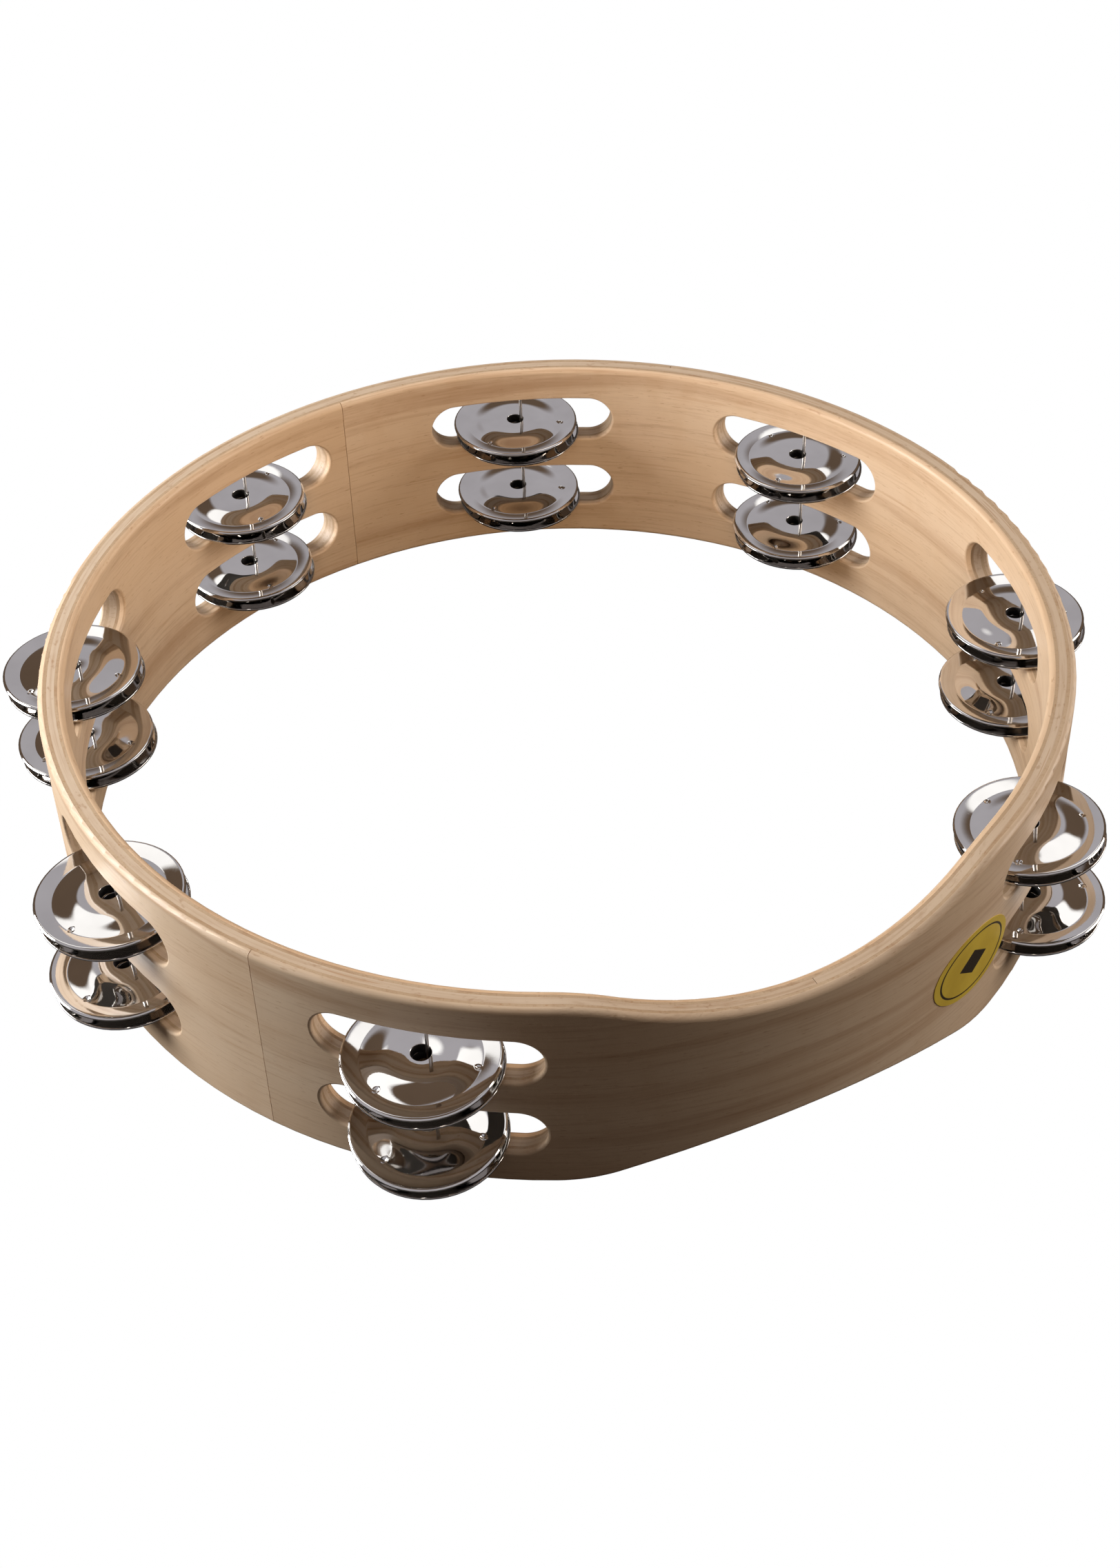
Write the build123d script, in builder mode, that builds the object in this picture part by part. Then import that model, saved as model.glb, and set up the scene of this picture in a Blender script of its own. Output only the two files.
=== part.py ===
"""Ten-inch open tambourine: a bent-ply wooden hoop with two rows of paired jingles on wire pins.

The origin is on the hoop's axis in the plane of the bottom rim, +Z is up, and the hand grip faces -Y.
Angles around the hoop are in degrees from -Y towards +X. Lengths are in millimetres.
"""

import os
from math import cos, hypot, radians, sin, sqrt

from build123d import *

# Hoop: five bent strips of wood, glued one inside the other, from the outer face inwards.
hoop_radius = 127.0
hoop_height = 56.0
face_ply = 1.5
cross_ply = 0.8
core_ply = 1.9
rim_round = 1.35
strip_gap = 0.15
seam_angles = {
    "outer_face": -58.0,
    "outer_cross": 138.0,
    "core": 0.0,
    "inner_cross": 97.0,
    "inner_face": -177.1,
}

# Slots: two rows, cut straight through the wall at eight stations. The grip takes the ninth place.
station_angles = [-39.7, -82.0, -122.9, -162.1, 158.1, 118.9, 76.0, 38.5]
slot_length = 52.0
slot_height = 13.5
slot_round = 0.6
row_heights = {"bottom": 16.5, "top": 39.5}

# Grip: a shallow arc scooped out of both rims.
grip_depth = 9.5
grip_arc_radius = 136.0
grip_blend = 40.0

# Jingles: stamped sheet-metal discs, paired hubs outwards. Each falls from a flat hub to a crease,
# then rises in a ring whose edge rolls down again. The hole has a drawn collar, and the two collars
# of a pair meet. The heights are those of the sheet's underside over the collar's end.
jingle_radius = 17.75
jingle_sheet = 0.5
jingle_hole = 2.35
hub_radius = 7.0
hub_height = 2.15
crease_radius = 13.5
crease_height = 1.0
crease_fall = 0.1
ring_rise = 0.2
crest_radius = 16.7
crest_height = 1.5
edge_height = 1.25
edge_fall = 0.5
nub_circle = 12.9
nub_radius = 1.05
nub_height = 0.35
running_gap = 0.05

# How each pair hangs at rest: it leans against one side of its pin, and may tip across the wall.
upper_lean = 1.68
lower_lean = 1.13
lean_directions = {
    "bottom": [189.5, 154.5, 154.5, 154.5, 154.5, 154.5, 154.5, -45.5],
    "top": [189.5, 154.5, 154.5, 154.5, 154.5, 154.5, 154.5, 199.5],
}
tip_angles = {
    "bottom": [4.5, 2.5, 1.5, 0.0, 0.0, 0.0, -1.0, 0.0],
    "top": [3.0, 2.5, 1.5, 0.0, 0.0, 0.0, -1.0, -4.0],
}
nub_turns = [-3.0, 50.0, 80.0, 77.0, 52.0, 95.0, 21.0, 66.0]

# Pins: headless wire, driven up through both rows from the bottom rim.
pin_radius = 0.42
pin_fit = 0.02
pin_start = 0.4
pin_end = 51.5
pin_point = 1.6

# Badge: a thin oval sticker on the outer face, beside the grip.
badge_angle = 21.7
badge_height = 24.5
badge_length = 28.6
badge_width = 20.0
badge_sheet = 0.15

wall = 2 * face_ply + 2 * cross_ply + core_ply
inner_radius = hoop_radius - wall
core_radius = hoop_radius - wall / 2
outer_cross_radius = hoop_radius - face_ply
core_outer_radius = outer_cross_radius - cross_ply
inner_cross_radius = core_outer_radius - core_ply
inner_face_radius = inner_cross_radius - cross_ply
inside_chord = sqrt(inner_radius**2 - (slot_length / 2) ** 2)


def hoop_plane(angle, radius, height):
    """A plane facing outwards at a place on the hoop: local X along the wall, local Y up."""
    turn = radians(angle)
    outward = (sin(turn), -cos(turn), 0)
    return Plane(
        origin=(radius * sin(turn), -radius * cos(turn), height),
        x_dir=(cos(turn), sin(turn), 0),
        z_dir=outward,
    )


def edge_radius(edge):
    """The least and the greatest distance from the hoop's axis to an edge's ends and middle."""
    points = [edge @ 0, edge @ 0.5, edge @ 1]
    reach = [hypot(point.X, point.Y) for point in points]
    return min(reach), max(reach)


def edges_at_radius(part, radius):
    """The edges of a part that lie on a cylinder about the hoop's axis, less the ones straight up it."""
    found = []
    for edge in part.edges():
        low, high = edge_radius(edge)
        on_cylinder = low > radius - 0.01 and high < radius + 0.01
        upright = abs((edge @ 0).Z - (edge @ 1).Z) > hoop_height / 2
        if on_cylinder and not upright:
            found.append(edge)
    return found


def on_slot(edge):
    """Whether an edge belongs to a slot and not to a rim."""
    middle = (edge @ 0.5).Z
    centres = row_heights.values()
    return any(abs(middle - centre) < slot_height / 2 + 0.1 for centre in centres)


# The slots through the wall.
with BuildPart() as slots:
    for station_angle in station_angles:
        for row_height in row_heights.values():
            with BuildSketch(hoop_plane(station_angle, inside_chord - 2, row_height)):
                SlotOverall(slot_length, slot_height)
            extrude(amount=hoop_radius - inside_chord + 4)

# The two scoops of the grip, the lower one a mirror image of the upper.
with BuildPart() as scoops:
    with BuildSketch(Plane.XZ.offset(hoop_radius + 5)) as scoop_sketch:
        half_chord = sqrt(grip_arc_radius**2 - (grip_arc_radius - grip_depth) ** 2)
        shoulder = half_chord + 20
        with BuildLine():
            rim_left = Line((-shoulder, hoop_height), (-half_chord, hoop_height))
            scoop = ThreePointArc(
                rim_left @ 1, (0, hoop_height - grip_depth), (half_chord, hoop_height)
            )
            rim_right = Line(scoop @ 1, (shoulder, hoop_height))
            Polyline(
                rim_right @ 1,
                (shoulder, hoop_height + 10),
                (-shoulder, hoop_height + 10),
                rim_left @ 0,
            )
        make_face()
        ends = [v for v in vertices() if abs(abs(v.X) - half_chord) < 0.01]
        fillet(ends, radius=grip_blend)
    extrude(amount=-40)
    mirror(about=Plane.XY.offset(hoop_height / 2))

# One pin: a wire with a tapered point at its upper end.
with BuildPart() as pin:
    with BuildSketch(Plane.XZ):
        with BuildLine():
            Polyline(
                (0, pin_start),
                (pin_radius, pin_start),
                (pin_radius, pin_end - pin_point),
                (0.15, pin_end),
                (0, pin_end),
                close=True,
            )
        make_face()
    revolve(axis=Axis.Z)

# The holes that the pins are driven into, open at the bottom rim.
with BuildPart() as pin_holes:
    for station_angle in station_angles:
        with BuildSketch(Plane.XY.offset(-1)):
            with Locations(hoop_plane(station_angle, core_radius, 0).origin):
                Circle(pin_radius + pin_fit)
        extrude(amount=pin_end + 1 + pin_fit)


def bend_strip(outer_radius, thickness, seam_angle):
    """A strip of wood bent into a ring, its ends nearly meeting at the seam, with the grip cut in."""
    gap_angle = strip_gap / outer_radius * 57.3
    section = hoop_plane(seam_angle + gap_angle / 2, 0, 0)
    section = Plane(origin=section.origin, x_dir=section.z_dir, z_dir=-section.x_dir)
    with BuildPart() as strip:
        with BuildSketch(section):
            with Locations((outer_radius - thickness / 2, hoop_height / 2)):
                Rectangle(thickness, hoop_height)
        revolve(axis=Axis.Z, revolution_arc=gap_angle - 360)
        add(scoops.part, mode=Mode.SUBTRACT)
    return strip.part


def write(part, name):
    """Label a finished piece and write it to its own file."""
    part.label = name
    export_step(part, f"parts/{name}.step")


# The five strips of the hoop. Only the two face plies are rounded, at their rims and at their slots.
with BuildPart() as outer_face_ply:
    add(bend_strip(hoop_radius, face_ply, seam_angles["outer_face"]))
    fillet(edges_at_radius(outer_face_ply.part, hoop_radius), radius=rim_round)
    add(slots.part, mode=Mode.SUBTRACT)
    slot_edges = [e for e in edges_at_radius(outer_face_ply.part, hoop_radius) if on_slot(e)]
    fillet(slot_edges, radius=slot_round)

with BuildPart() as outer_cross_ply:
    add(bend_strip(outer_cross_radius, cross_ply, seam_angles["outer_cross"]))
    add(slots.part, mode=Mode.SUBTRACT)

with BuildPart() as core_strip:
    add(bend_strip(core_outer_radius, core_ply, seam_angles["core"]))
    add(slots.part, mode=Mode.SUBTRACT)
    add(pin_holes.part, mode=Mode.SUBTRACT)

with BuildPart() as inner_cross_ply:
    add(bend_strip(inner_cross_radius, cross_ply, seam_angles["inner_cross"]))
    add(slots.part, mode=Mode.SUBTRACT)

with BuildPart() as inner_face_ply:
    add(bend_strip(inner_face_radius, face_ply, seam_angles["inner_face"]))
    fillet(edges_at_radius(inner_face_ply.part, inner_radius), radius=rim_round)
    add(slots.part, mode=Mode.SUBTRACT)
    slot_edges = [e for e in edges_at_radius(inner_face_ply.part, inner_radius) if on_slot(e)]
    fillet(slot_edges, radius=slot_round)

# The badge: an oval cut out of a thin sheet that lies against the outer face.
with BuildPart() as badge:
    with BuildSketch(hoop_plane(badge_angle, core_radius, badge_height)):
        Ellipse(badge_length / 2, badge_width / 2)
    extrude(amount=wall)
    Cylinder(
        hoop_radius + badge_sheet,
        hoop_height,
        align=(Align.CENTER, Align.CENTER, Align.MIN),
        mode=Mode.INTERSECT,
    )
    Cylinder(
        hoop_radius,
        hoop_height,
        align=(Align.CENTER, Align.CENTER, Align.MIN),
        mode=Mode.SUBTRACT,
    )

# One jingle, collar down, the collar's end on the local XY plane.
with BuildPart() as jingle:
    with BuildSketch(Plane.XZ):
        collar_radius = jingle_hole + jingle_sheet
        hub_top = hub_height + jingle_sheet
        with BuildLine():
            for height in (0, jingle_sheet):
                hub_rim = (hub_radius, height + hub_height)
                crease = (crease_radius, height + crease_height)
                crest = (crest_radius, height + crest_height)
                edge = (jingle_radius, height + edge_height)
                Spline(hub_rim, crease, tangents=[(1, 0), (1, -crease_fall)])
                Spline(crease, crest, tangents=[(1, ring_rise), (1, 0)])
                Spline(crest, edge, tangents=[(1, 0), (1, -edge_fall)])
            Line((jingle_radius, edge_height), (jingle_radius, edge_height + jingle_sheet))
            Polyline(
                (hub_radius, hub_height),
                (collar_radius, hub_height),
                (collar_radius, 0),
                (jingle_hole, 0),
                (jingle_hole, hub_top),
                (hub_radius, hub_top),
            )
        make_face()
    revolve(axis=Axis.Z)

# Three nubs, pressed down just inside the crease, so that they stand out of the sheet's underside.
with BuildPart() as nub_bumps:
    nub_centre = crease_height - nub_height + nub_radius
    with PolarLocations(nub_circle, 3):
        with Locations((0, 0, nub_centre)):
            Sphere(nub_radius)
    with Locations((0, 0, crease_height + jingle_sheet / 2)):
        Cylinder(
            jingle_radius,
            nub_radius * 2,
            align=(Align.CENTER, Align.CENTER, Align.MIN),
            mode=Mode.SUBTRACT,
        )
with BuildPart() as stamped_jingle:
    add(jingle.part)
    add(nub_bumps.part)
    with PolarLocations(nub_circle, 3):
        with Locations((0, 0, nub_centre + jingle_sheet - running_gap)):
            Sphere(nub_radius, mode=Mode.SUBTRACT)


def hang_pair(station, row):
    """The planes of a pair's lower and upper jingle: collar to collar on the pin, edges apart."""
    station_angle = station_angles[station]
    outward = hoop_plane(station_angle, core_radius, 0)
    tip = radians(tip_angles[row][station])
    up = Vector(0, 0, cos(tip)) + outward.z_dir * sin(tip)
    floor = row_heights[row] - slot_height / 2
    lift = wall / 2 * abs(sin(tip)) + running_gap
    middle = floor + lift + hub_height + jingle_sheet
    lean_turn = radians(lean_directions[row][station])
    lean = Vector(cos(lean_turn), sin(lean_turn), 0)
    turned = outward.x_dir.rotate(Axis.Z, nub_turns[station])
    lower = Plane(
        origin=outward.origin + lean * lower_lean + Vector(0, 0, middle),
        x_dir=turned,
        z_dir=-up,
    )
    upper = Plane(
        origin=outward.origin + lean * upper_lean + Vector(0, 0, middle + running_gap),
        x_dir=turned,
        z_dir=up,
    )
    return {"lower": lower, "upper": upper}


os.makedirs("parts", exist_ok=True)

write(outer_face_ply.part, "outer_face_ply")
write(outer_cross_ply.part, "outer_cross_ply")
write(core_strip.part, "core_ply")
write(inner_cross_ply.part, "inner_cross_ply")
write(inner_face_ply.part, "inner_face_ply")
write(badge.part, "badge")

for station, station_angle in enumerate(station_angles):
    with BuildPart() as placed_pin:
        with Locations(hoop_plane(station_angle, core_radius, 0).origin):
            add(pin.part)
    write(placed_pin.part, f"pin_{station + 1}")
    for row in row_heights:
        for side, seat in hang_pair(station, row).items():
            with BuildPart(seat) as placed_jingle:
                add(stamped_jingle.part)
            write(placed_jingle.part, f"jingle_{station + 1}_{row}_{side}")
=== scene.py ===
"""The look of the tambourine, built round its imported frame: wood, nickel, wire, badge, light and camera.

Lengths are in metres. Angles around the hoop are in degrees from -Y towards +X, as in the CAD.
Colours are linear.
"""

from math import cos, degrees, pi, radians, sin

import bpy
import numpy as np
from mathutils import Matrix, Vector


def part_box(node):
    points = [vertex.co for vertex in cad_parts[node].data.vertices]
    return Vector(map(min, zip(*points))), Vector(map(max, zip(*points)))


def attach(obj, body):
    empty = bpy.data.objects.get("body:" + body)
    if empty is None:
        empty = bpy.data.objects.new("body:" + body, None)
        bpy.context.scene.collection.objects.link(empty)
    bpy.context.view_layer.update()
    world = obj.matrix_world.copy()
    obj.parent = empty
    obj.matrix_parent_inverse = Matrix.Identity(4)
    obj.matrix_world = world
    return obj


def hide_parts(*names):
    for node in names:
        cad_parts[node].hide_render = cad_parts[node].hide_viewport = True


MM = 0.001

# ---------------------------------------------------------------- the frame

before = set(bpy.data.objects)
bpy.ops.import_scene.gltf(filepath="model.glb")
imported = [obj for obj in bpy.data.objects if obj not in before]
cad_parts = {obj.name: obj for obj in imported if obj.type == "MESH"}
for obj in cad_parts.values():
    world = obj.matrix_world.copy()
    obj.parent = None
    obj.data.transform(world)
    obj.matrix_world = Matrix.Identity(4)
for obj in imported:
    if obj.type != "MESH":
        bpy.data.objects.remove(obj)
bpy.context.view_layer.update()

JINGLES = sorted(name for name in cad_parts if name.startswith("jingle_"))
PINS = sorted(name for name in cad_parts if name.startswith("pin_"))

HOOP_RADIUS, _, HOOP_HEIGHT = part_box("outer_face_ply")[1]
HOOP_MIDDLE = Vector((0, 0, HOOP_HEIGHT / 2))


def vertices_of(node):
    """A node's vertices as an array, in the row frame."""
    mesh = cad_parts[node].data
    points = np.zeros(len(mesh.vertices) * 3)
    mesh.vertices.foreach_get("co", points)
    return points.reshape(-1, 3)


def axes_matrix(x_axis, y_axis, z_axis, origin):
    """The matrix that puts a piece's own axes and origin at the given ones."""
    columns = [(*axis, 0) for axis in (x_axis, y_axis, z_axis)]
    return Matrix([*columns, (*origin, 1)]).transposed()


# ---------------------------------------------------------------- shader helpers


class Shader:
    """Adds nodes to the tree of one material or world, and links them."""

    def __init__(self, owner, output_kind="ShaderNodeOutputMaterial"):
        self.owner = owner
        owner.use_nodes = True
        self.tree = owner.node_tree
        self.tree.nodes.clear()
        self.output = self.node(output_kind)

    def feed(self, socket, value):
        """Link a socket to another, or set it to a plain value. A colour is given without its alpha."""
        if isinstance(value, bpy.types.NodeSocket):
            self.tree.links.new(value, socket)
        elif socket.type == "RGBA":
            socket.default_value = (*value, 1.0)
        else:
            socket.default_value = value

    def node(self, kind, inputs=None, **settings):
        """Add a node, set its properties, and link or set its inputs by name or by index."""
        made = self.tree.nodes.new(kind)
        for key, value in settings.items():
            setattr(made, key, value)
        for key, value in (inputs or {}).items():
            self.feed(made.inputs[key], value)
        return made

    def surface(self, socket):
        """End the tree in a surface, and return the material or world it belongs to."""
        self.feed(self.output.inputs["Surface"], socket)
        return self.owner

    def principled(self, inputs):
        """End the tree in a Principled surface, and return its material."""
        return self.surface(self.node("ShaderNodeBsdfPrincipled", inputs).outputs[0])

    def math(self, operation, a, b=0.0):
        return self.node("ShaderNodeMath", {0: a, 1: b}, operation=operation).outputs[0]

    def add(self, a, b):
        return self.math("ADD", a, b)

    def times(self, a, b):
        return self.math("MULTIPLY", a, b)

    def between(self, factor, low, high):
        """Go evenly from low to high as the factor goes from 0 to 1."""
        return self.add(self.times(factor, high - low), low)

    def ramp(self, factor, low, high):
        """Map low..high to 0..1, smoothly and clamped."""
        made = self.node(
            "ShaderNodeMapRange",
            {"Value": factor, "From Min": low, "From Max": high},
            interpolation_type="SMOOTHSTEP",
        )
        return made.outputs["Result"]

    def fade(self, factor, low, high):
        """Map low..high to 1..0, smoothly and clamped."""
        return self.math("SUBTRACT", 1.0, self.ramp(factor, low, high))

    def hypot(self, a, b):
        return self.math("SQRT", self.add(self.times(a, a), self.times(b, b)))

    def dot(self, vector, direction):
        """How far a vector goes along a fixed direction."""
        made = self.node(
            "ShaderNodeVectorMath",
            {0: vector, 1: tuple(direction)},
            operation="DOT_PRODUCT",
        )
        return made.outputs["Value"]

    def combine(self, x, y, z):
        return self.node("ShaderNodeCombineXYZ", {0: x, 1: y, 2: z}).outputs[0]

    def split(self, vector):
        return self.node("ShaderNodeSeparateXYZ", {0: vector}).outputs[:]

    def position(self):
        """The shaded point in its object's own coordinates."""
        return self.node("ShaderNodeTexCoord").outputs["Object"]

    def noise(self, vector, scale, detail, roughness=0.55):
        inputs = {"Vector": vector, "Scale": scale, "Detail": detail, "Roughness": roughness}
        return self.node("ShaderNodeTexNoise", inputs).outputs["Fac"]

    def mix(self, factor, a, b):
        """Mix two colours."""
        return self.node("ShaderNodeMix", {0: factor, 6: a, 7: b}, data_type="RGBA").outputs[2]

    def choose(self, factor, a, b):
        """Mix two surfaces."""
        return self.node("ShaderNodeMixShader", {0: factor, 1: a, 2: b}).outputs[0]

    def bump(self, height, distance, strength):
        inputs = {"Height": height, "Distance": distance, "Strength": strength}
        return self.node("ShaderNodeBump", inputs).outputs["Normal"]


def strip_coordinates(s, seam_angle):
    """Distance round a bent strip from the place opposite its seam, height and radius, as sockets."""
    position = s.position()
    turn = radians(seam_angle)
    opposite = s.dot(position, (-sin(turn), cos(turn), 0))
    sideways = s.dot(position, (-cos(turn), -sin(turn), 0))
    angle = s.math("ARCTAN2", sideways, opposite)
    return s.times(angle, HOOP_RADIUS), s.split(position)[2], s.hypot(opposite, sideways)


# ---------------------------------------------------------------- wood

# The wood's marks: how often each kind repeats along, across and through a strip, per metre.
BROAD = (5.0, 26.0, 1.0)
WANDER = (9.0, 9.0, 1.0)
STREAKS = (4.0, 130.0, 700.0)
FIBRES = (60.0, 1500.0, 700.0)
FLECKS = (330.0, 2100.0, 700.0)
FIGURE = (120.0, 55.0, 1.0)
FISSURES = (38.0, 620.0, 1500.0)

# How far the streaks sway across the grain, in their own repeats.
SWAY = 1.6

# A pale and a warm tone for each wood, and the tones of the marks on all of them.
OUTER_TONES = ((0.71, 0.54, 0.38), (0.64, 0.455, 0.295))
CROSS_TONES = ((0.61, 0.44, 0.285), (0.50, 0.335, 0.20))
CORE_TONES = ((0.71, 0.55, 0.40), (0.62, 0.45, 0.30))
INNER_TONES = ((0.72, 0.53, 0.36), (0.65, 0.45, 0.28))
DARK = (0.36, 0.185, 0.085)
FISSURE = (0.42, 0.20, 0.075)


def grain(s, strip, rates, detail, roughness=0.55, sway=0.0):
    """Noise in a strip's own coordinates, stretched by its rates and swaying across the grain."""
    along, across, through = (s.times(part, rate) for part, rate in zip(strip, rates))
    return s.noise(s.combine(along, s.add(across, sway), through), 1.0, detail, roughness)


def wood_material(name, tones, seam_angle, shift, across=False, fissured=0.5):
    """Sliced maple veneer. Its grain runs along the strip, or up it for a cross ply."""
    s = Shader(bpy.data.materials.new(name))
    along, height, depth = strip_coordinates(s, seam_angle)
    if across:
        along, height = height, along
    strip = (s.add(along, shift), height, depth)
    wander = grain(s, strip, WANDER, 2.0)
    streaks = grain(s, strip, STREAKS, 5.0, 0.6, s.times(wander, SWAY))
    fibres = grain(s, strip, FIBRES, 3.0, 0.6)
    pale, warm = tones
    # each mark: its noise, where it starts and where it is full, how strongly it shows, its colour
    marks = (
        (grain(s, strip, FIGURE, 3.0), 0.42, 0.7, 0.4, warm),
        (streaks, 0.5, 0.72, 0.5, DARK),
        (fibres, 0.48, 0.78, 0.32, DARK),
        (grain(s, strip, FLECKS, 2.0), 0.62, 0.76, 0.45, DARK),
        (grain(s, strip, FISSURES, 2.0), 0.64, 0.72, fissured, FISSURE),
    )
    colour = s.mix(s.ramp(grain(s, strip, BROAD, 3.0), 0.3, 0.72), pale, warm)
    for noise, start, full, strength, tone in marks:
        colour = s.mix(s.times(s.ramp(noise, start, full), strength), colour, tone)
    relief = s.add(s.times(fibres, 0.7), s.times(streaks, 0.3))
    return s.principled(
        {
            "Base Color": colour,
            "Roughness": s.between(fibres, 0.38, 0.56),
            "Specular IOR Level": 0.4,
            "Normal": s.bump(relief, 0.06 * MM, 0.6),
        }
    )


# ---------------------------------------------------------------- metals and badge

PLATE_BRIGHT = (0.70, 0.68, 0.66)
PLATE_SMEARED = (0.62, 0.60, 0.58)
WIRE_BRIGHT = (0.60, 0.57, 0.53)
WIRE_DULL = (0.42, 0.38, 0.34)
# Painted shade: near-black tones for the wall inside a jingle's hole, standing in for its shadow.
BORE_SHADE_DARK = (0.006, 0.005, 0.005)
BORE_SHADE_PALE = (0.022, 0.018, 0.015)
GOLD_BRIGHT = (0.78, 0.56, 0.07)
GOLD_DEEP = (0.68, 0.47, 0.055)
INK = (0.035, 0.025, 0.015)

BADGE_ANGLE = 21.7
BADGE_HEIGHT = 24.5 * MM
BADGE_HALF_LENGTH = 14.3 * MM
BADGE_HALF_WIDTH = 10.0 * MM

# Where the badge's printed border runs and how far its diamond reaches, as parts of the badge's oval.
BORDER_PLACE = 0.84
BORDER_EDGE = (0.015, 0.03)
DIAMOND_EDGE = (0.36, 0.38)


def nickel_material():
    """Bright nickel plate: nearly a mirror, with faint smears and fine handling marks."""
    s = Shader(bpy.data.materials.new("nickel_plate"))
    position = s.position()
    smear = s.noise(position, 55.0, 3.0)
    rub = s.noise(position, 900.0, 2.0)
    marks = s.noise(position, 2600.0, 2.0)
    smeared_roughness = s.between(s.ramp(smear, 0.4, 0.8), 0.035, 0.105)
    rubbed_roughness = s.times(s.ramp(rub, 0.55, 0.8), 0.05)
    return s.principled(
        {
            "Base Color": s.mix(s.ramp(smear, 0.3, 0.7), PLATE_BRIGHT, PLATE_SMEARED),
            "Metallic": 1.0,
            "Roughness": s.add(smeared_roughness, rubbed_roughness),
            "Normal": s.bump(marks, 0.004 * MM, 0.25),
        }
    )


def wire_material():
    """Drawn steel wire with lengthwise draw lines and dull patches."""
    s = Shader(bpy.data.materials.new("steel_wire"))
    position = s.position()
    x, y, z = s.split(position)
    lines = s.noise(s.combine(x, y, s.times(z, 0.02)), 9000.0, 2.0)
    dull = s.noise(position, 260.0, 3.0)
    return s.principled(
        {
            "Base Color": s.mix(s.ramp(dull, 0.35, 0.7), WIRE_BRIGHT, WIRE_DULL),
            "Metallic": 1.0,
            "Roughness": s.between(dull, 0.18, 0.43),
            "Normal": s.bump(lines, 0.01 * MM, 0.4),
        }
    )


def bore_shade_material():
    """Painted shade: a near-black matt wall inside a jingle's hole, standing in for the hole's shadow."""
    s = Shader(bpy.data.materials.new("bore_painted_shade"))
    shade_noise = s.noise(s.position(), 700.0, 3.0)
    return s.principled(
        {
            "Base Color": s.mix(shade_noise, BORE_SHADE_DARK, BORE_SHADE_PALE),
            "Roughness": s.between(shade_noise, 0.6, 0.9),
        }
    )


def badge_material():
    """Yellow-gold film with a fine metallic fleck, printed with a plain border and a diamond."""
    s = Shader(bpy.data.materials.new("gold_film"))
    position = s.position()
    fleck = s.noise(position, 2400.0, 2.0)
    tone = s.noise(position, 120.0, 2.0)
    film = s.mix(s.ramp(tone, 0.3, 0.7), GOLD_BRIGHT, GOLD_DEEP)
    along, height, _ = strip_coordinates(s, BADGE_ANGLE + 180)
    across = s.math("DIVIDE", along, BADGE_HALF_LENGTH)
    upward = s.math("DIVIDE", s.math("SUBTRACT", height, BADGE_HEIGHT), BADGE_HALF_WIDTH)
    from_border = s.math("ABSOLUTE", s.math("SUBTRACT", s.hypot(across, upward), BORDER_PLACE))
    border = s.fade(from_border, *BORDER_EDGE)
    slant = s.add(s.math("ABSOLUTE", across), s.math("ABSOLUTE", upward))
    diamond = s.fade(slant, *DIAMOND_EDGE)
    return s.principled(
        {
            "Base Color": s.mix(s.math("MAXIMUM", border, diamond), film, INK),
            "Metallic": 0.1,
            "Roughness": s.between(fleck, 0.32, 0.52),
            "Coat Weight": 0.3,
            "Coat Roughness": 0.2,
            "Normal": s.bump(fleck, 0.01 * MM, 0.3),
        }
    )


# ---------------------------------------------------------------- dressing the CAD's nodes


def dress(node, material):
    """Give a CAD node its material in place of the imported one, and return its mesh."""
    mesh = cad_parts[node].data
    mesh.materials.clear()
    mesh.materials.append(material)
    return mesh


# Each ply's wood: its tones, the angle of its seam, and a shift that gives it its own stretch of grain.
WOODS = {
    "outer_face_ply": wood_material("outer_veneer", OUTER_TONES, -58.0, 3.1, fissured=0.16),
    "outer_cross_ply": wood_material("outer_cross", CROSS_TONES, 138.0, 1.7, across=True),
    "core_ply": wood_material("core", CORE_TONES, 0.0, 5.3),
    "inner_cross_ply": wood_material("inner_cross", CROSS_TONES, 97.0, 8.9, across=True),
    "inner_face_ply": wood_material("inner_veneer", INNER_TONES, -177.1, 6.2, fissured=0.2),
}
nickel = nickel_material()
bore_painted_shade = bore_shade_material()
wire = wire_material()

for ply, wood in WOODS.items():
    dress(ply, wood)
for pin in PINS:
    dress(pin, wire).shade_smooth()
dress("badge", badge_material())

# ---------------------------------------------------------------- jingles

EDGE = 17.75 * MM
HOLE = 2.35 * MM
SHEET = 0.5 * MM
BEAD = 0.12 * MM
MOUTH = 0.12 * MM
NUB_CIRCLE = 12.9 * MM
NUB_REACH = 0.85 * MM
NUB_DEPTH = 0.38 * MM
NUB_TURNS = (0, 120, 240)

# The section's knots: radius and height of the sheet's underside over the collar's end. Between
# two knots the section is a cubic with the slopes given for its two ends.
HUB_KNOT = (7.0 * MM, 2.15 * MM)
CREASE_KNOT = (13.5 * MM, 1.0 * MM)
CREST_KNOT = (17.0 * MM, 1.65 * MM)
EDGE_KNOT = (EDGE, 1.35 * MM)
SPANS = (
    (HUB_KNOT, CREASE_KNOT, 0.0, -0.1),
    (CREASE_KNOT, CREST_KNOT, 0.22, 0.13),
    (CREST_KNOT, EDGE_KNOT, 0.13, -0.9),
)

# Each disc is a little uneven: it has this many waves round it, of a height in this range at its edge.
WAVES = 3
WAVE_HEIGHT = (0.015 * MM, 0.04 * MM)

# How the angles round a disc are spaced: the width added to each nub's stretch, in degrees, and
# the number of angles in it and in the stretch between two nubs.
NUB_MARGIN = 0.6
NUB_ANGLES = 15
GAP_ANGLES = 19

# Bands by which a packed disc's parts are told apart: its edge, its collar and its pressed nubs.
EDGE_BAND = 0.2 * MM
COLLAR_BAND = 1.2 * SHEET
PRESSED_BAND = 0.07 * MM


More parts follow.
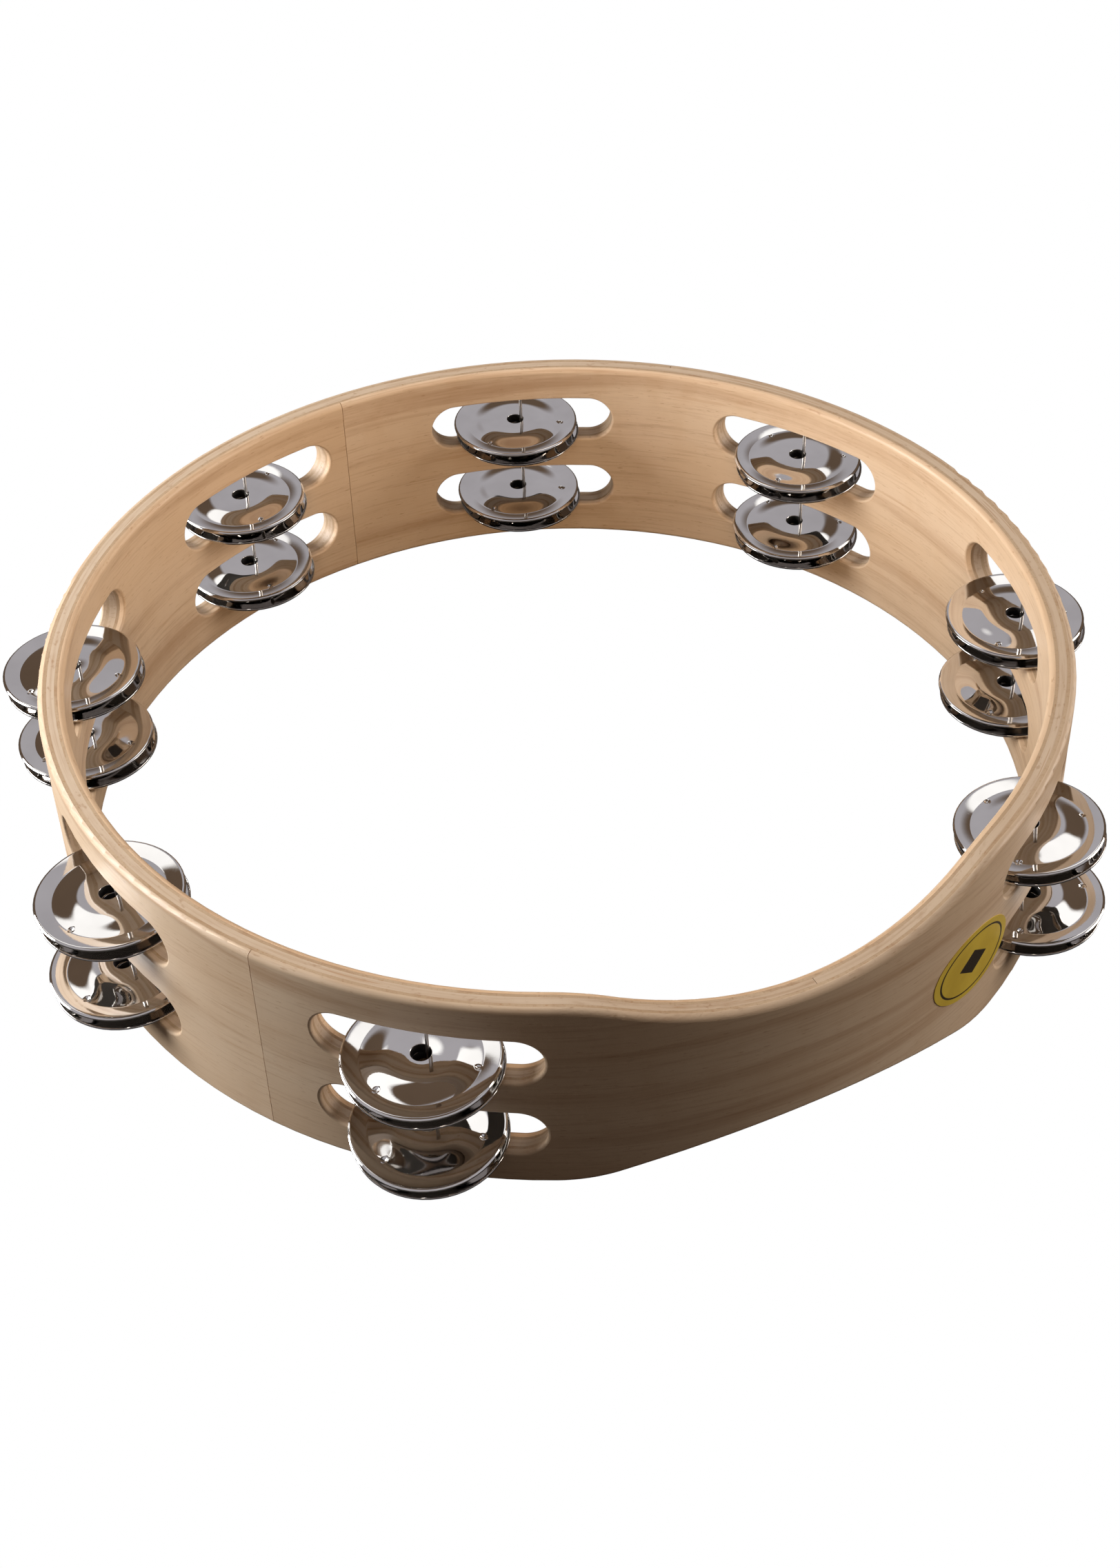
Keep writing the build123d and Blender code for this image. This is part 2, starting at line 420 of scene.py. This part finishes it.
def dish_height(radius):
    """Height of the sheet's underside: flat hub, down to the crease, up to the crest, down to the edge."""
    if radius <= HUB_KNOT[0]:
        return HUB_KNOT[1]
    for near, far, near_slope, far_slope in SPANS:
        if radius <= far[0]:
            break
    width = far[0] - near[0]
    t = (radius - near[0]) / width
    rise = t * t * (3 - 2 * t)
    bend = near_slope * t * (1 - t) ** 2 - far_slope * t * t * (1 - t)
    return near[1] + (far[1] - near[1]) * rise + width * bend


def corner(radius, height, size, start):
    """Points round a quarter circle about (radius, height), turning the way the section is drawn."""
    turns = [radians(start + step) for step in (0, 22.5, 45, 67.5, 90)]
    return [(radius + size * cos(t), height + size * sin(t)) for t in turns]


def jingle_profile():
    """Points (radius, height) round the section of a stamped disc: collar, underside, beaded edge, top."""
    collar = HOLE + SHEET
    hub = HUB_KNOT[1]
    radii = np.concatenate(
        [
            np.linspace(HUB_KNOT[0], NUB_CIRCLE - NUB_REACH, 16),
            np.linspace(NUB_CIRCLE - NUB_REACH, CREASE_KNOT[0], 12)[1:],
            np.linspace(CREASE_KNOT[0], CREST_KNOT[0], 12)[1:],
            np.linspace(CREST_KNOT[0], EDGE - BEAD, 8)[1:-1],
        ]
    )
    low = dish_height(EDGE)
    bottom = [(collar, 0.0), (collar, hub)] + [(r, dish_height(r)) for r in radii]
    edge = corner(EDGE - BEAD, low + BEAD, BEAD, -90) + corner(EDGE - BEAD, low + SHEET - BEAD, BEAD, 0)
    top = [(r, dish_height(r) + SHEET) for r in radii[::-1]]
    bore = corner(HOLE + MOUTH, hub + SHEET - MOUTH, MOUTH, 90) + [(HOLE, 0.0)]
    return bottom + edge + top + bore


def jingle_angles():
    """Angles round a disc in degrees, closer together across its nubs."""
    reach = degrees(NUB_REACH / NUB_CIRCLE) + NUB_MARGIN
    angles = []
    for turn in NUB_TURNS:
        angles += [turn + a for a in np.linspace(-reach, reach, NUB_ANGLES)]
        angles += [turn + a for a in np.linspace(reach, 120 - reach, GAP_ANGLES)[1:-1]]
    return angles


def press_nubs(points):
    """Press three small nubs inside the crease, with both faces of the sheet going down together."""
    for turn in NUB_TURNS:
        away_x = points[:, 0] - NUB_CIRCLE * cos(radians(turn))
        away_y = points[:, 1] - NUB_CIRCLE * sin(radians(turn))
        away = np.hypot(away_x, away_y) / NUB_REACH
        inside = away < 1
        points[inside, 2] -= NUB_DEPTH * np.cos(away[inside] * pi / 2) ** 1.5


def bend_sheet(points, radii, turns, seed):
    """Give a disc the slight unevenness of thin stamped metal, which grows towards its edge."""
    rng = np.random.default_rng(seed)
    lean = rng.uniform(0, 2 * pi, WAVES)
    size = rng.uniform(*WAVE_HEIGHT, WAVES)
    share = radii / EDGE
    for wave in range(WAVES):
        points[:, 2] += size[wave] * share**2 * np.cos((wave + 2) * turns + lean[wave])


def jingle_mesh(name, seed):
    """One disc turned about its own Z axis, with its nubs and its unevenness."""
    profile = jingle_profile()
    angles = jingle_angles()
    count, rings = len(angles), len(profile)
    turns = np.repeat(np.radians(angles), rings)
    radii, heights = np.tile(np.array(profile), (count, 1)).T
    points = np.column_stack([radii * np.cos(turns), radii * np.sin(turns), heights])
    press_nubs(points)
    bend_sheet(points, radii, turns, seed)
    faces = []
    for i in range(count):
        here, beyond = i * rings, (i + 1) % count * rings
        for k in range(rings):
            m = (k + 1) % rings
            faces.append((here + k, beyond + k, beyond + m, here + m))
    mesh = bpy.data.meshes.new(name)
    mesh.from_pydata(points.tolist(), [], faces)
    mesh.shade_smooth()
    # the bore is the last span of the section; it gets the near-black painted shade of the hole, not plate
    bore = np.tile(np.arange(rings) == rings - 2, count)
    mesh.polygons.foreach_set("material_index", bore.astype(np.int32))
    mesh.validate()
    return mesh


def thin_direction(points):
    """The direction in which a flat cloud of points is thinnest."""
    return np.linalg.eigh(np.cov(points.T))[1][:, 0]


def flat_axes(normal):
    """Two unit vectors square to a unit vector and to each other."""
    first = np.cross(normal, (0.0, 1.0, 0.0))
    first /= np.linalg.norm(first)
    return first, np.cross(normal, first)


def seat_of(node):
    """A jingle's place in the frame: Z out through its hub, X towards a nub, origin at its collar's end."""
    points = vertices_of(node)
    middle = (points.min(0) + points.max(0)) / 2
    first, second = flat_axes(thin_direction(points - middle))
    across = (points - middle) @ np.array([first, second]).T
    edge = points[np.hypot(across[:, 0], across[:, 1]) > EDGE - EDGE_BAND]
    # the disc's own plane, and its centre from a circle fitted to the edge
    normal = thin_direction(edge - edge.mean(0))
    first, second = flat_axes(normal)
    across = (edge - middle) @ np.array([first, second]).T
    fit = np.column_stack([across, np.ones(len(across))])
    x, y, _ = np.linalg.lstsq(fit, (across**2).sum(1), rcond=None)[0]
    centre = middle + first * x / 2 + second * y / 2
    local = (points - centre) @ np.array([first, second, normal]).T
    radius = np.hypot(local[:, 0], local[:, 1])
    # the collar's end lies further from the level of the edge than the hub does, which tells Z's sense
    collar = local[radius < HOLE + COLLAR_BAND, 2]
    rim = local[radius > EDGE - EDGE_BAND, 2].mean()
    if collar.max() - rim > rim - collar.min():
        normal, second = -normal, -second
        local[:, 1:] *= -1
        collar = -collar
    local[:, 2] -= collar.min()
    # the nubs are the only points this low near their circle
    pressed = (abs(radius - NUB_CIRCLE) < NUB_REACH) & (local[:, 2] < CREASE_KNOT[1] - PRESSED_BAND)
    angles = np.arctan2(local[pressed, 1], local[pressed, 0])
    spin = np.angle(np.exp(3j * angles).mean()) / 3
    x_axis = first * cos(spin) + second * sin(spin)
    return axes_matrix(x_axis, np.cross(normal, x_axis), normal, centre + normal * collar.min())


def place_jingle(node, seed):
    """Lay a finished disc over a packed jingle, which it replaces."""
    mesh = jingle_mesh(f"{node}_skin", seed)
    mesh.transform(seat_of(node))
    mesh.materials.append(nickel)
    # the second material is the painted shade inside the hole
    mesh.materials.append(bore_painted_shade)
    piece = bpy.data.objects.new(f"{node}_skin", mesh)
    bpy.context.scene.collection.objects.link(piece)
    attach(piece, node)
    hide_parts(node)


for number, name in enumerate(JINGLES):
    place_jingle(name, number)

# ---------------------------------------------------------------- camera

# The view: degrees round from -Y, up from level, and rolled; then metres away, and down the picture.
VIEW_TURN = -25.5
VIEW_LIFT = 41.84
VIEW_ROLL = -1.911
VIEW_DISTANCE = 0.61385
VIEW_DROP = 0.0165
LENS = 55.2918
SENSOR = 36


def view_direction(azimuth, elevation):
    """The unit vector towards an angle round the hoop and a height over the horizon."""
    a, e = radians(azimuth), radians(elevation)
    return Vector((sin(a) * cos(e), -cos(a) * cos(e), sin(e)))


def add_camera():
    """A camera aimed at the hoop's middle, then shifted straight down its own picture and rolled."""
    data = bpy.data.cameras.new("camera")
    data.lens = LENS
    data.sensor_width = SENSOR
    data.clip_start = 0.01
    data.clip_end = 50
    camera = bpy.data.objects.new("camera", data)
    bpy.context.scene.collection.objects.link(camera)
    back = view_direction(VIEW_TURN, VIEW_LIFT)
    right = Vector((cos(radians(VIEW_TURN)), sin(radians(VIEW_TURN)), 0))
    up = back.cross(right)
    roll = radians(VIEW_ROLL)
    camera.matrix_world = axes_matrix(
        right * cos(roll) + up * sin(roll),
        up * cos(roll) - right * sin(roll),
        back,
        HOOP_MIDDLE + back * VIEW_DISTANCE - up * VIEW_DROP,
    )
    bpy.context.scene.camera = camera


# ---------------------------------------------------------------- lamps and floor

COOL = (0.96, 0.98, 1.0)
WARM = (1.0, 0.93, 0.86)
AMBER = (1.0, 0.78, 0.56)
WHITE = (1.0, 1.0, 1.0)

FLOOR_HALF = 6.0
FLOOR_DROP = 0.3 * MM
FLOOR_PAPER = (0.07, 0.065, 0.06)


def add_softbox(name, azimuth, elevation, distance, size, power, colour):
    """A square soft light aimed at the hoop's middle. Its azimuth is counted from the view's own."""
    data = bpy.data.lights.new(name, "AREA")
    data.shape = "SQUARE"
    data.size = size
    data.energy = power
    data.color = colour
    lamp = bpy.data.objects.new(name, data)
    bpy.context.scene.collection.objects.link(lamp)
    back = view_direction(VIEW_TURN + azimuth, elevation)
    lamp.location = HOOP_MIDDLE + back * distance
    lamp.rotation_euler = back.to_track_quat("Z", "Y").to_euler()
    return lamp


def light_only(lamp, nodes):
    """Let a lamp light nothing but some of the CAD's nodes."""
    lit = bpy.data.collections.new(f"{lamp.name}_lit")
    for name in nodes:
        lit.objects.link(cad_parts[name])
    lamp.light_linking.receiver_collection = lit


def add_lamps():
    """Soft lights at both sides and overhead, and one in front for the inside of the hoop alone."""
    add_softbox("left_box", -95, 18, distance=0.7, size=0.35, power=7.6, colour=COOL)
    add_softbox("right_box", 96, 18, distance=1.0, size=0.5, power=6.6, colour=WARM)
    inner_box = add_softbox("inner_box", 0, 25, distance=1.0, size=0.6, power=4.6, colour=AMBER)
    inner_box.visible_glossy = False
    light_only(inner_box, ["inner_face_ply"])
    top_box = add_softbox("top_box", 180, 88, distance=0.4, size=0.45, power=0.5, colour=WHITE)
    top_box.visible_glossy = False


def add_floor():
    """A large floor: white to the camera, and dark paper to everything else, so it reflects little."""
    mesh = bpy.data.meshes.new("floor")
    corners = [(-1, -1), (1, -1), (1, 1), (-1, 1)]
    points = [(x * FLOOR_HALF, y * FLOOR_HALF, -FLOOR_DROP) for x, y in corners]
    mesh.from_pydata(points, [], [(0, 1, 2, 3)])
    floor = bpy.data.objects.new("floor", mesh)
    bpy.context.scene.collection.objects.link(floor)
    s = Shader(bpy.data.materials.new("floor_paper"))
    seen = s.node("ShaderNodeLightPath").outputs["Is Camera Ray"]
    white = s.node("ShaderNodeEmission", {"Color": WHITE}).outputs[0]
    paper = s.node("ShaderNodeBsdfDiffuse", {"Color": FLOOR_PAPER}).outputs[0]
    mesh.materials.append(s.surface(s.choose(seen, paper, white)))


# ---------------------------------------------------------------- surroundings

# What matt surfaces get from all round, and the room that plated ones reflect instead.
FILL = (0.12, 0.097, 0.084)
ROOM = (0.14, 0.095, 0.065)
PANEL = (0.52, 0.505, 0.54)
WINDOW = (1.5, 1.5, 1.5)

# Where the pale panels fade in or out. All but the turn are measured on a sphere of radius 1: the
# height at which they start, the back one's top, half-width and depth, and the others' top. The turn
# at which the others start, round from straight behind, is in radians.
PANEL_FOOT = (0.22, 0.42)
BACK_TOP = (0.925, 0.96)
BACK_SIDE = (0.27, 0.35)
BACK_DEPTH = (-0.45, 0.15)
SIDE_TOP = (0.88, 0.95)
SIDE_TURN = (1.1, 1.35)

# The back panel narrows above a height, by so much for each unit of height.
TAPER_START = 0.7
TAPER = 1.1

# Two bright windows high behind the hoop: their direction, and the angles off it between which each
# fades out.
WINDOW_TURN = 145
WINDOW_LIFT = 57
WINDOW_INNER = 11
WINDOW_OUTER = 14


def panels(s, direction):
    """How much of a pale panel there is in a direction: one behind, and the rest round sides and front."""
    front = view_direction(VIEW_TURN, 0)
    behind = s.dot(direction, -front)
    aside = s.math("ABSOLUTE", s.dot(direction, (-front.y, front.x, 0)))
    height = s.split(direction)[2]
    taper = s.times(s.math("MAXIMUM", s.math("SUBTRACT", height, TAPER_START), 0.0), TAPER)
    width = s.fade(s.add(aside, taper), *BACK_SIDE)
    central = s.times(s.ramp(behind, *BACK_DEPTH), s.times(width, s.fade(height, *BACK_TOP)))
    turn = s.math("ARCTAN2", aside, behind)
    around = s.times(s.ramp(turn, *SIDE_TURN), s.fade(height, *SIDE_TOP))
    return s.times(s.math("MAXIMUM", central, around), s.ramp(height, *PANEL_FOOT))


def reflected_room(s):
    """The colour that a plated surface sees in each direction: a brown room, pale panels, two windows."""
    direction = s.node("ShaderNodeTexCoord").outputs["Generated"]
    tint = s.mix(panels(s, direction), ROOM, PANEL)
    for side in (-1, 1):
        facing = s.dot(direction, view_direction(VIEW_TURN + side * WINDOW_TURN, WINDOW_LIFT))
        pane = s.ramp(facing, cos(radians(WINDOW_OUTER)), cos(radians(WINDOW_INNER)))
        tint = s.mix(pane, tint, WINDOW)
    return tint


def add_world():
    """White to the camera, a dim even fill to matt surfaces, and to plated ones the reflected room."""
    world = bpy.data.worlds.new("studio")
    s = Shader(world, "ShaderNodeOutputWorld")
    colours = (FILL, reflected_room(s), WHITE)
    fill, room, white = (s.node("ShaderNodeBackground", {0: colour}).outputs[0] for colour in colours)
    path = s.node("ShaderNodeLightPath")
    unseen = s.choose(path.outputs["Is Glossy Ray"], fill, room)
    bpy.context.scene.world = s.surface(s.choose(path.outputs["Is Camera Ray"], unseen, white))


add_camera()
add_lamps()
add_floor()
add_world()
bpy.context.scene.view_settings.view_transform = "Standard"
